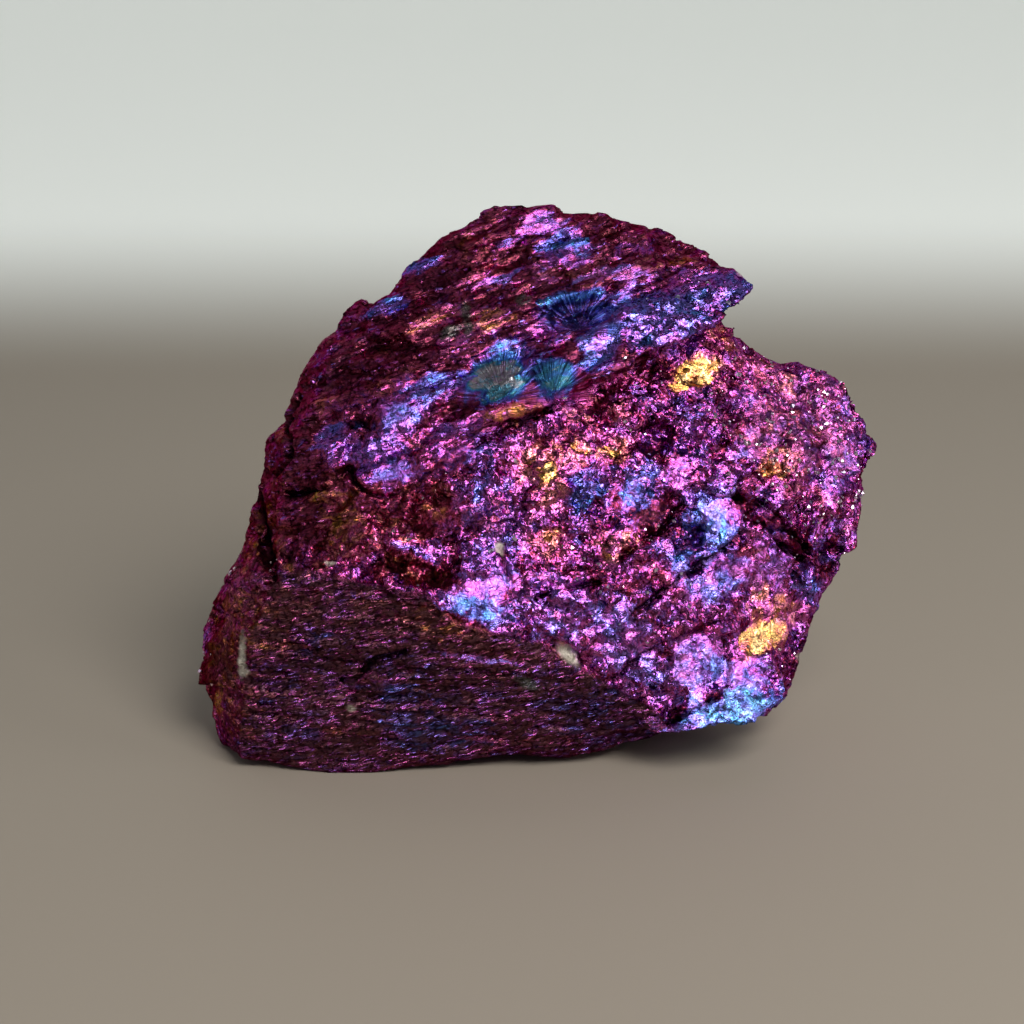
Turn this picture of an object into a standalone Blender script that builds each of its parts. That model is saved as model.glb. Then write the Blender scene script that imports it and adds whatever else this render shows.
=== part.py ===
"""A hand-sized specimen of peacock ore, as one closed solid.

The stone is a handful of broken blocks grown together: each block is the convex hull of the
corners where its fracture faces meet. The blocks are fused, pits and clefts are taken out of
them, layered and chipped relief is pressed into the skin, the skin is thinned to flat facets,
and the stone is cut off level where it rests.
"""

import math

import bmesh
import bpy
import numpy as np
from mathutils import Matrix, Vector, noise
from mathutils.bvhtree import BVHTree

MM = 0.001

# ---- driving dimensions, in millimetres unless the name says otherwise ----
DISPLAY_TILT_DEG = 18.0  # the display face is described as an eye this far above the horizon sees it
EYE_RIGHT, EYE_UP, EYE_DISTANCE = -4.0, 37.0, 420.0  # that eye, from the origin of BLOCKS
FUSE_VOXEL = 0.85
SWELL_SIZE, SWELL_HEIGHT = 17.0, 1.2  # slow unevenness of the fracture faces
LEDGE_STEP, LEDGE_HEIGHT, LEDGE_DIP_DEG = 5.2, 0.75, 23.0  # layers of the dome
SHEET_STEP, SHEET_HEIGHT, SHEET_DIP_DEG = 3.8, 0.34, -2.0  # layers of the dark slab
LEDGE_STRETCH, SHEET_STRETCH = 4.0, 7.0  # how much longer a layer's lumps are than wide
WARP_SIZE, WARP_HEIGHT = 11.0, 2.2  # waviness of the layers
FADE_SIZE = (14.0, 5.0, 14.0)  # patches where the ledges fade out, along and across the layers
CHIP_SIZE, CHIP_SLOPE = 6.4, 0.32  # broken facets of the grainy mass
SMALL_CHIP_SIZE, SMALL_CHIP_SLOPE = 3.1, 0.26
CHIPS_LEFT_ON_SLAB, CHIPS_LEFT_ON_DOME = 0.15, 0.45
RIDGE_FADE, SEAM_FADE = 2.0, 4.0  # how wide one kind of relief turns into the next
SETTLE = 0.5  # drawn in all over, so that the relief keeps the blocks' outline
FACET_COUNT = 9300

NODE = "ore_specimen"
COLOUR = (0.23, 0.03, 0.27, 1.0)
ROUGHNESS = 0.38
METALLIC = 0.9

TILT = math.radians(DISPLAY_TILT_DEG)


def seen(right, up, toward):
    """A corner of the display side: right and up as the eye sees it, and toward the eye."""
    reach = 1 - toward / EYE_DISTANCE
    right = EYE_RIGHT + (right - EYE_RIGHT) * reach
    up = EYE_UP + (up - EYE_UP) * reach
    return (
        right,
        up * math.sin(TILT) - toward * math.cos(TILT),
        up * math.cos(TILT) + toward * math.sin(TILT),
    )


# Corners of each block. The origin is on the ground, where the dark slab's foot meets it in front.
# What lies below the ground is cut off level.
# seen() gives the display side, and the plain triples (x, depth, height) give the hidden side.
BLOCKS = {
    # The dark striated slab across the lower front. Its face leans out over its own foot.
    "striated_slab": [
        seen(-43.4, 0.4, 0.4), seen(-28, -0.9, 1.2), seen(-10, 0.2, 0.6), seen(0, 1.8, -0.5),
        seen(17, 4.0, -4), seen(25, 9, 0.5), seen(17.4, 8, 3.4), seen(10, 12.6, 6.6),
        seen(0, 18.2, 9.4), seen(-12.5, 21.3, 10.4), seen(-15.5, 25.4, 10.4),
        seen(-30, 29, 8.0), seen(-38.2, 29.6, 5.2), seen(-42.8, 9, 2.2), seen(-41.6, 20, 4.2),
        seen(-46.4, 3.6, -9), seen(-48.0, 14, -11), seen(-48.7, 19, -12), seen(-47.0, 25.5, -12),
        seen(-44.6, 29.5, -12),
        (-41, 30, -1.5), (-28, 45, -1.5), (0, 50, -1.5), (21, 39, -1.5), (18, 22, -1.5),
        (-30, 6, -1.5), (-8, 8, -1.5), (-42, 34, 26), (-24, 50, 30), (8, 53, 30), (30, 40, 24),
    ],
    # A thinner sheet of the same dark stone, lying one step back on top of the slab.
    "upper_sheet": [
        seen(-29.5, 29.6, 6.4), seen(-23, 32.6, 5.4), seen(-14, 28.6, 7.4),
        seen(-12.5, 29.8, 6.0), seen(-16, 24.6, 9.4), seen(-26, 27.5, 8.4),
        seen(-20, 34.4, 1.0), seen(-31, 33, 0.5), (-20, 14, 22), (-8, 14, 22),
    ],
    # The grainy mass that makes the middle and the whole right side.
    "grainy_mass": [
        seen(-15.8, 24.5, 9.6), seen(-11.8, 21.1, 9.6), seen(-6.3, 30, 6.6), seen(0, 37, 7.6),
        seen(8, 26, 10.0), seen(0, 18.6, 9.2), seen(10, 13.2, 7.2), seen(17.5, 9.2, 4.6),
        seen(25, 10.5, 2.4), seen(17, 30, 8.6), seen(21, 21, 7.0), seen(27, 17, 3.6),
        seen(20, 4.6, -3.5), seen(33.0, 7.4, -8), seen(35.8, 12.4, -8.5), seen(38.6, 20, -9),
        seen(44.8, 31.0, -10), seen(48.2, 41, -11), seen(48.8, 46.0, -12),
        seen(48.0, 49.2, -12), seen(44.8, 55.2, -14), seen(38.6, 56.6, -14), seen(29.6, 59.2, -12),
        seen(27, 64.4, -9),
        seen(-7, 45, 5.4), seen(4, 51, 3.0), seen(18, 53, 0.6), seen(30, 51, -2.4),
        seen(39, 46, -5), seen(34, 34, 0.4),
        (27, 34, 5), (36, 36, 24), (42, 38, 40), (30, 46, 34), (24, 42, 54), (5, 53, 34),
    ],
    # Two broken faces under the grainy mass, leaning back a little, above the raised right foot.
    "lower_facets": [
        seen(18.4, 19.6, 5.4), seen(26.4, 20.2, 3.2), seen(27.0, 11, 5.2), seen(20.4, 10.2, 6.6),
        seen(31, 22, 0), seen(34.2, 17, -2.0), seen(33.4, 7.0, 2.6), seen(27, 4.7, 6.6),
        seen(20.8, 4.3, 7.4), seen(14.5, 4.2, 3.2), seen(35.2, 12.4, -3), (16, 20, 20), (30, 22, 22),
    ],
    # The layered dome of the upper left.
    "layered_dome": [
        seen(-38.6, 31, 1.5), seen(-37.4, 42, -1.5), seen(-34.4, 50, -3), seen(-30.8, 58, -5),
        seen(-27, 31, 7.2), seen(-9, 29, 7.8), seen(-25, 46, 3.4), seen(-7, 45, 6.0),
        seen(2, 52, 3.4), seen(-15, 61, -1.6), seen(0, 63, -1.6), seen(10, 66, -3.6),
        seen(18, 71, -6.5), seen(-44.0, 31, -12), seen(-41.8, 36, -12), seen(-39.8, 46, -12),
        seen(-35.8, 54.0, -12), seen(-31.6, 62.6, -13), seen(-28.4, 66.2, -13),
        seen(-12.8, 77.6, -14), seen(-6.4, 81.8, -15), seen(-2, 82.2, -15),
        seen(5, 80.2, -15), seen(13, 78.8, -16), seen(19.6, 77.2, -15), seen(23.2, 75.4, -15),
        seen(27.4, 72.2, -14),
        (-36, 40, 30), (-30, 46, 44), (-8, 55, 44), (18, 50, 48), (-20, 44, 58), (4, 43, 66),
        (18, 41, 62),
    ],
    # The slab whose end juts out over a notch at the upper right.
    "jutting_ledge": [
        seen(-9, 49.5, 5.6), seen(2, 53.2, 5.2), seen(12, 57.2, 4.6), seen(20, 61, 2.6),
        seen(28.4, 65.6, -1), seen(31.0, 68.3, -4), seen(31.0, 70.4, -8), seen(29.4, 72.2, -10),
        seen(22, 73.4, -10), seen(15, 69.0, -4.6), seen(8, 61.6, 0.6), seen(0, 59.6, 1.2),
        seen(-9, 54.6, 3.4), (10, 36, 50), (24, 38, 56), (27, 36, 61),
    ],
}

# Where the slab's upper ridge and the lower seam of the dome run, right and up.
RIDGE_RIGHT = (-45, -35, -16, -12, 0, 10, 17)
RIDGE_UP = (27, 29, 25, 21, 18.3, 12.2, 5.2)
SEAM_RIGHT = (-45, -30, -10, 11, 28)
SEAM_UP = (30, 35, 47, 56, 66)

# Hollows in the display side: right and up of the middle, length, width, depth, and the turn of
# the long axis from level.
HOLLOWS = {
    "slot": (17.0, 48.0, 6.4, 2.4, 3.4, 58),
    "round_hole": (22.3, 33.3, 3.6, 2.6, 3.4, 70),
    "right_hole": (29.6, 32.8, 3.6, 2.4, 2.6, 20),
    "long_hole": (31.8, 36.8, 7.0, 2.2, 3.2, 28),
    "edge_hole": (37.6, 36.8, 4.4, 2.2, 2.6, 40),
    "facet_cavity": (23.0, 19.4, 4.2, 2.0, 2.2, -20),
    "fan_pit": (6.6, 65.4, 10.0, 5.6, 3.0, 8),
    "left_cleft": (-39.4, 34.5, 13.0, 2.4, 4.4, 84),
    "long_crack": (21.4, 27.6, 11.0, 1.5, 2.6, 32),
    "slab_crack": (-24.2, 15.0, 9.0, 1.4, 2.0, 22),
    "seam_crack": (8.5, 27.2, 8.0, 1.4, 2.0, 10),
    "corner_nick": (45.2, 51.6, 3.0, 2.0, 6.0, 20),
    "shoulder_nick": (-22.6, 69.6, 8.0, 2.8, 7.0, 41),
    "notch_scoop": (32.6, 60.3, 12.0, 4.0, 9.0, -26),
}


def clear_scene():
    for obj in list(bpy.data.objects):
        bpy.data.objects.remove(obj)


def named_collection(name):
    collection = bpy.data.collections.new(name)
    bpy.context.scene.collection.children.link(collection)
    return collection


def object_from(bm, name, collection):
    mesh = bpy.data.meshes.new(name)
    bm.to_mesh(mesh)
    bm.free()
    obj = bpy.data.objects.new(name, mesh)
    collection.objects.link(obj)
    return obj


def ore_material():
    material = bpy.data.materials.new("tarnished_ore")
    material.diffuse_color = COLOUR
    material.use_nodes = True
    shader = material.node_tree.nodes["Principled BSDF"]
    shader.inputs["Base Color"].default_value = COLOUR
    shader.inputs["Roughness"].default_value = ROUGHNESS
    shader.inputs["Metallic"].default_value = METALLIC
    return material


def add_block(bm, corners):
    """Adds the convex hull of these corners to bm."""
    verts = [bm.verts.new(Vector(corner) * MM) for corner in corners]
    bmesh.ops.convex_hull(bm, input=verts)
    inside = [v for v in verts if v.is_valid and not v.link_faces]
    bmesh.ops.delete(bm, geom=inside, context="VERTS")


def block_stone(collection):
    bm = bmesh.new()
    for corners in BLOCKS.values():
        add_block(bm, corners)
    bmesh.ops.recalc_face_normals(bm, faces=bm.faces)
    return object_from(bm, NODE, collection)


def apply_modifiers(obj):
    """Replaces obj's mesh with what its modifiers make of it."""
    graph = bpy.context.evaluated_depsgraph_get()
    made = bpy.data.meshes.new_from_object(obj.evaluated_get(graph))
    obj.modifiers.clear()
    obj.data = made


def fuse(obj):
    remesh = obj.modifiers.new("fuse", "REMESH")
    remesh.mode = "VOXEL"
    remesh.voxel_size = FUSE_VOXEL * MM
    apply_modifiers(obj)


def add_hollow(bm, skin, hollow):
    """Adds a spindle to bm, lying in the skin where the eye sees the hollow."""
    right, up, length, width, depth, turn_deg = hollow
    eye = Vector(seen(EYE_RIGHT, EYE_UP, EYE_DISTANCE)) * MM
    ahead = (Vector(seen(right, up, 0)) * MM - eye).normalized()
    place = skin.ray_cast(eye, ahead)[0]
    across = Matrix.Rotation(math.radians(turn_deg), 4, -ahead) @ Vector((1, 0, 0))
    across = (across - across.dot(ahead) * ahead).normalized()
    axes = Matrix((across, ahead.cross(across), ahead)).transposed().to_4x4()
    size = Matrix.Diagonal((length * MM, width * MM, 2 * depth * MM, 1))
    bmesh.ops.create_icosphere(
        bm, subdivisions=2, radius=0.5, matrix=Matrix.Translation(place) @ axes @ size
    )


def hollow_cutter(obj, collection):
    skin_mesh = bmesh.new()
    skin_mesh.from_mesh(obj.data)
    skin = BVHTree.FromBMesh(skin_mesh)
    skin_mesh.free()
    bm = bmesh.new()
    for hollow in HOLLOWS.values():
        add_hollow(bm, skin, hollow)
    bmesh.ops.recalc_face_normals(bm, faces=bm.faces)
    cutter = object_from(bm, "hollow_cutter", collection)
    cutter.hide_render = True
    cutter.display_type = "WIRE"
    return cutter


def take_out(obj, cutter):
    cut = obj.modifiers.new("hollows", "BOOLEAN")
    cut.operation = "DIFFERENCE"
    cut.solver = "EXACT"
    cut.object = cutter
    apply_modifiers(obj)


def ramp(value, low, high):
    """0 below low, 1 above high, smooth between."""
    share = min(max((value - low) / (high - low), 0.0), 1.0)
    return share * share * (3 - 2 * share)


def stepped(value, step, sharpness=0.3):
    """A sawtooth of rounded ledges, from 0 to 1 over each step."""
    share = (value / step) % 1.0
    return share if share < 1 - sharpness else (1 - share) * (1 - sharpness) / sharpness


def chipped(place, size):
    """Height over the flat chip that this place belongs to, for chips about size across."""
    cell = noise.voronoi(place / size)[1][0]
    lean = noise.cell_vector(cell * 57.0) - Vector((0.5, 0.5, 0.5))
    return (place / size - cell).dot(lean) * size


def layered(place, dip_deg, step, stretch):
    """Height from -1 to 1 of thin layers that dip this way and end in ragged little ledges."""
    right, up, toward = seen_from(place)
    dip = math.radians(dip_deg)
    along = right * math.cos(dip) + up * math.sin(dip)
    across = up * math.cos(dip) - right * math.sin(dip) + 0.3 * toward
    drawn_out = Vector((along / stretch, across, toward / stretch))
    warp = noise.fractal(place / WARP_SIZE, 1.0, 2.0, 3) * WARP_HEIGHT
    ledges = stepped(across + warp, step) * 2 - 1
    along_size, across_size, toward_size = FADE_SIZE
    patch = Vector((along / along_size, across / across_size, toward / toward_size))
    strength = 0.5 + 0.5 * noise.noise(patch)
    return ledges * strength + noise.fractal(drawn_out / (0.6 * step), 1.0, 2.0, 2)


def seen_from(place):
    """The right, up and toward of a place, in the display side's own axes."""
    up = place.y * math.sin(TILT) + place.z * math.cos(TILT)
    toward = place.z * math.sin(TILT) - place.y * math.cos(TILT)
    return place.x, up, toward


def between(value, knots, heights):
    """Height at value of the line through these knots."""
    value = min(max(value, knots[0]), knots[-1])
    for left, right, low, high in zip(knots, knots[1:], heights, heights[1:]):
        if value <= right:
            return low + (high - low) * (value - left) / (right - left)
    return heights[-1]


def slab_share(right, up):
    """How far a place of the display side belongs to the dark striated slab."""
    ridge = between(right, RIDGE_RIGHT, RIDGE_UP)
    return 1 - ramp(up, ridge - 0.75 * RIDGE_FADE, ridge + 0.25 * RIDGE_FADE)


def dome_share(right, up):
    """How far a place belongs to the layered dome and the jutting ledge."""
    seam = between(right, SEAM_RIGHT, SEAM_UP)
    return ramp(up, seam - SEAM_FADE / 2, seam + SEAM_FADE / 2)


def relief(place):
    """Height of the relief at a place of the smooth stone, all in millimetres."""
    right, up, _ = seen_from(place)
    dome = dome_share(right, up)
    slab = slab_share(right, up) * (1 - dome)
    chips = chipped(place, CHIP_SIZE) * CHIP_SLOPE
    chips += chipped(place, SMALL_CHIP_SIZE) * SMALL_CHIP_SLOPE
    height = noise.fractal(place / SWELL_SIZE, 1.0, 2.0, 4) * SWELL_HEIGHT
    height += chips * (1 - (1 - CHIPS_LEFT_ON_SLAB) * slab - (1 - CHIPS_LEFT_ON_DOME) * dome)
    if dome > 0:
        ledges = layered(place, LEDGE_DIP_DEG, LEDGE_STEP, LEDGE_STRETCH)
        height += ledges * LEDGE_HEIGHT * dome
    if slab > 0:
        sheets = layered(place, SHEET_DIP_DEG, SHEET_STEP, SHEET_STRETCH)
        height += sheets * SHEET_HEIGHT * slab
    return height - SETTLE


def roughen(obj):
    """Moves every vertex along its normal by the height of the relief there."""
    places = [vert.co.copy() for vert in obj.data.vertices]
    normals = [vert.normal.copy() for vert in obj.data.vertices]
    for vert, place, normal in zip(obj.data.vertices, places, normals):
        vert.co = place + normal * relief(place / MM) * MM


def thin(obj, faces):
    decimate = obj.modifiers.new("facets", "DECIMATE")
    decimate.ratio = faces / (2 * len(obj.data.polygons))
    apply_modifiers(obj)


def bounds(mesh):
    points = np.empty(len(mesh.vertices) * 3, np.float32)
    mesh.vertices.foreach_get("co", points)
    points = points.reshape(-1, 3)
    return Vector(points.min(0)), Vector(points.max(0))


def cut_flat(obj):
    """Cuts the stone off level at the ground and puts the origin under its middle."""
    bm = bmesh.new()
    bm.from_mesh(obj.data)
    cut = bmesh.ops.bisect_plane(
        bm, geom=[*bm.verts, *bm.edges, *bm.faces], dist=1e-7,
        plane_co=(0, 0, 0), plane_no=(0, 0, -1), clear_outer=True,
    )
    edges = [e for e in cut["geom_cut"] if isinstance(e, bmesh.types.BMEdge)]
    bmesh.ops.holes_fill(bm, edges=edges)
    bmesh.ops.triangulate(bm, faces=bm.faces)
    bm.to_mesh(obj.data)
    bm.free()
    low, high = bounds(obj.data)
    middle = (low + high) / 2
    obj.data.transform(Matrix.Translation((-middle.x, -middle.y, -low.z)))


def main():
    clear_scene()
    stone = block_stone(named_collection("peacock_ore"))
    fuse(stone)
    cutter = hollow_cutter(stone, named_collection("cutters"))
    take_out(stone, cutter)
    fuse(stone)
    roughen(stone)
    thin(stone, FACET_COUNT)
    cut_flat(stone)
    stone.data.materials.append(ore_material())


main()
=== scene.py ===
"""Builds the visual model of a hand-sized lump of tarnished peacock ore, and its small studio."""

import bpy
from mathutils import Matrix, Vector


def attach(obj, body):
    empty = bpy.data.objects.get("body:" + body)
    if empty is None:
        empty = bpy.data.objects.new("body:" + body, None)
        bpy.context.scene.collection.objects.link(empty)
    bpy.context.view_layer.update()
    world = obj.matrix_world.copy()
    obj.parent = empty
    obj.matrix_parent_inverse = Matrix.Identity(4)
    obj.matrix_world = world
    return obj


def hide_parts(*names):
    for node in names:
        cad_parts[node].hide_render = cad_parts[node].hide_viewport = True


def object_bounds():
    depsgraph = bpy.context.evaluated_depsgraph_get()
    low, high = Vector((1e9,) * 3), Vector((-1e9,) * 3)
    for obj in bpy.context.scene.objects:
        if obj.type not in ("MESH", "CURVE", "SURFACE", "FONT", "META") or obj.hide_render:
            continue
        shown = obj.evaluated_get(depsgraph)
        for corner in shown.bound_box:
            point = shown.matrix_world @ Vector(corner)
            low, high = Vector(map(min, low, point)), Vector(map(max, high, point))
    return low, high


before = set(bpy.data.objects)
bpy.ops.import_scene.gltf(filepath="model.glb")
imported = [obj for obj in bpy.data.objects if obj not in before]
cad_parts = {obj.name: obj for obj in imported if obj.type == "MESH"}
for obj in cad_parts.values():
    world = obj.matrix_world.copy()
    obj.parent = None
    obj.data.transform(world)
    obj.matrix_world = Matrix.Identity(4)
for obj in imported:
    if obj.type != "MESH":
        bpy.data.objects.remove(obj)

import copy
import math

import bmesh
import bpy
import numpy as np
from mathutils import Vector
from mathutils.kdtree import KDTree

bl_info = {
    "name": "Peacock Ore Specimen",
    "version": (1, 0, 0),
    "blender": (4, 5, 0),
    "location": "View3D > Sidebar > Ore",
    "description": "Makes a lump of tarnished copper ore with its layers, broken grain and colours",
    "category": "Add Mesh",
}

MM = 0.001
NODE = "ore_specimen"
SLOT = "tarnished_ore"
CAD_BOX = [list(corner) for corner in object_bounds()]
BACK_SLACK = 0.5 * MM

# Heights over the floor, in metres: where the base ends, over which heights the skin above it
# comes free to move, and over which the grains set in.
BASE_TOP, SKIN_FREE, GRAINS_FROM = 0.0005, (0.0002, 0.0015), (0.003, 0.006)

# The display side is described as an eye in front of it sees it: right and up in millimetres, in
# the plane that faces the eye through FOOT, which is on the ground where the dark slab meets it.
DISPLAY_TILT = math.radians(18.0)
FOOT = np.array((-0.1477, -25.2312, 0.0))
EYE_RIGHT, EYE_UP, EYE_DISTANCE = -4.0, 37.0, 420.0
RIGHT_AXIS = np.array((1.0, 0.0, 0.0))
UP_AXIS = np.array((0.0, math.sin(DISPLAY_TILT), math.cos(DISPLAY_TILT)))
TOWARD_AXIS = np.array((0.0, -math.cos(DISPLAY_TILT), math.sin(DISPLAY_TILT)))

# The camera: the width that it draws, its scale at FOOT, and its sensor's width in millimetres.
DRAWN_PIXELS, PIXELS_PER_MM, SENSOR = 1024, 7.0, 36.0

# The studio, in metres: where the floor starts, how far it reaches to each side and how high the
# wall is, where the floor bends up, how wide the bend is, where the floor's colour turns into the
# wall's, how high the lights aim, and each light's place, size and colour.
FLOOR_FRONT, FLOOR_SIDE, WALL_TOP = -2.5, 3.0, 3.0
BEND_AT, SWEEP_RADIUS = 0.9, 0.35
FADE_FROM, FADE_TO = 0.185, 0.355
STONE_MIDDLE = 0.035
LIGHTS = {
    "key": ((0.25, -0.44, 0.55), (0.42, 0.34), (1.0, 0.98, 0.96)),
    "fill": ((-0.6, -0.4, 0.3), (0.5, 0.5), (0.9, 0.94, 1.0)),
    "side": ((0.6, -0.16, 0.28), (0.34, 0.34), (0.97, 0.97, 1.0)),
}

# The way that the bright facets of the display side face.
BRIGHT_LEAN = (0.22, -0.80, 0.56)

# The slopes of the dome's chips, of the slab's, and of the flakes that glitter on both.
DOME_DIP, SLAB_DIP, FLAKE_DIP = math.radians(22), math.radians(-3), math.radians(16)

# Where one kind of break gives way to the next, as right and up along each line.
SLAB_RIDGE = (
    (-45, 27), (-35, 29), (-16, 25), (-12.2, 21), (0, 18.3), (10, 12.2), (16, 9), (18.5, 6.4),
    (24, 5),
)
DOME_SEAM = ((-45, 30), (-30, 34), (-10, 47), (2, 53), (11, 56), (28, 65.5), (34, 68))

# How thick the tarnish is, as a place on the run of colours from bare gold to silver.
GOLD, ORANGE, SALMON, PINK, MAGENTA = 0.06, 0.19, 0.26, 0.34, 0.43
PURPLE, VIOLET, INDIGO, BLUE, CYAN, TEAL, SILVER = 0.51, 0.58, 0.66, 0.75, 0.80, 0.88, 1.0

# The run of colours: each stop's place on it and its linear colour.
TARNISH = (
    (0.0, (0.95, 0.60, 0.22)),
    (0.08, (0.95, 0.52, 0.10)),
    (0.18, (0.85, 0.26, 0.08)),
    (0.27, (0.85, 0.22, 0.24)),
    (0.36, (0.80, 0.12, 0.42)),
    (0.45, (0.66, 0.11, 0.56)),
    (0.54, (0.46, 0.12, 0.72)),
    (0.64, (0.27, 0.17, 0.80)),
    (0.75, (0.13, 0.20, 0.82)),
    (0.85, (0.09, 0.34, 0.80)),
    (0.93, (0.08, 0.40, 0.52)),
    (1.0, (0.50, 0.49, 0.53)),
)

# Linear colours of the dark parts, the ore's own maroon brown with painted shade in it, of dust, of
# painted shade in the creases, of the painted lilac highlight, and of what the tarnish leaves bare.
WINE, DOME_BROWN = (0.30, 0.028, 0.06, 1), (0.34, 0.055, 0.095, 1)
SLAB_BROWN, DUST_BROWN = (0.17, 0.055, 0.055, 1), (0.22, 0.105, 0.125, 1)
CREASE_SHADE_BLACK, LILAC_HIGHLIGHT = (0.02, 0.004, 0.008, 1), (0.86, 0.78, 1.0, 1)
GREY_ROCK, PALE_ROCK = (0.15, 0.17, 0.15, 1), (0.72, 0.66, 0.55, 1)
# The white that the small crystals are washed toward: partly their own pale colour, partly a
# painted highlight.
GRAIN_HIGHLIGHT_WHITE = (0.92, 0.92, 0.95, 1)
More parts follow.
